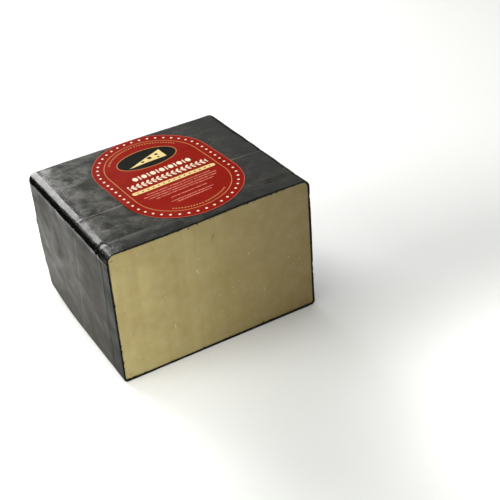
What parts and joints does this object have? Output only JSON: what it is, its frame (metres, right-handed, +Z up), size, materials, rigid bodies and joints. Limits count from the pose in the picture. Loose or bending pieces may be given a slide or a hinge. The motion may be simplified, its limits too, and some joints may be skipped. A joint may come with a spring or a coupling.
{
  "type": "block of aged cheddar cheese",
  "caption": "Waxed block of aged white cheddar, cut open at its front, with a thin black wax coat round the pale paste and an oval paper label laid over its top.",
  "frame": {"origin": "middle of the block's footprint, on the flat waxed underside", "axes": "+Z up; +X along the cut face, to the right as one looks at the cut; +Y from the cut face to the back"},
  "size_m": [0.1654, 0.1492, 0.1123],
  "materials": {
    "cheese": "waxy, satin",
    "wax_coat": "soft gloss, handled",
    "label": "satin paper"
  },
  "bodies": {
    "root": {"cheese": "cheese", "wax_coat": "wax_coat", "label": "label"}
  },
  "joints": []
}
